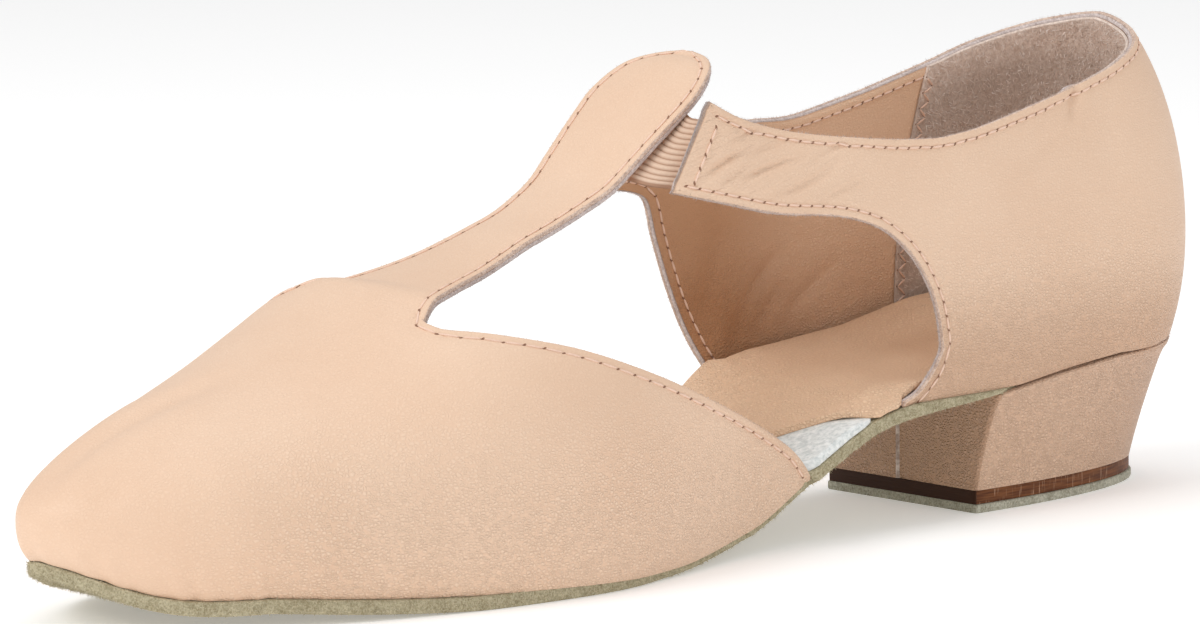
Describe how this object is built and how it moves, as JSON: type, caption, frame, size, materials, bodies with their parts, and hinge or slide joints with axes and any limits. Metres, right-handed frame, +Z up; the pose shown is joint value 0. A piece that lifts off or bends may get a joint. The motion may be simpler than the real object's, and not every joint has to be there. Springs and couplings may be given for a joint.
{
  "type": "dance sandal",
  "caption": "Closed-toe leather dance sandal with a T-strap, cut-out sides, an elastic instep band, a suede sole and a low covered heel.",
  "frame": {"origin": "centre of the underside of the bounding box, on the floor the shoe stands on", "axes": "+X from toe to heel, -Y the outer side of the left foot, +Z up"},
  "size_m": [0.2454, 0.0736, 0.0825],
  "materials": {
    "sole_suede": "khaki suede with a fuzzy raw edge",
    "fibre_board": "pale fibrous board, matt",
    "sock_leather": "smooth tan leather",
    "heel_leather": "peach leather cover, soft sheen",
    "lift_brown": "dark brown layer with a polished edge",
    "tip_suede": "grey-green suede, fuzzy",
    "vamp_leather": "fine-grained peach leather, soft sheen",
    "quarter_leather": "fine-grained peach leather, soft sheen",
    "elastic_web": "ribbed beige elastic"
  },
  "bodies": {
    "root": {"outsole": "sole_suede", "insole": "fibre_board", "sock": "sock_leather", "heel": "heel_leather", "heel_lift": "lift_brown", "heel_tip": "tip_suede", "vamp": "vamp_leather", "quarter": "quarter_leather", "elastic": "elastic_web"}
  },
  "joints": []
}
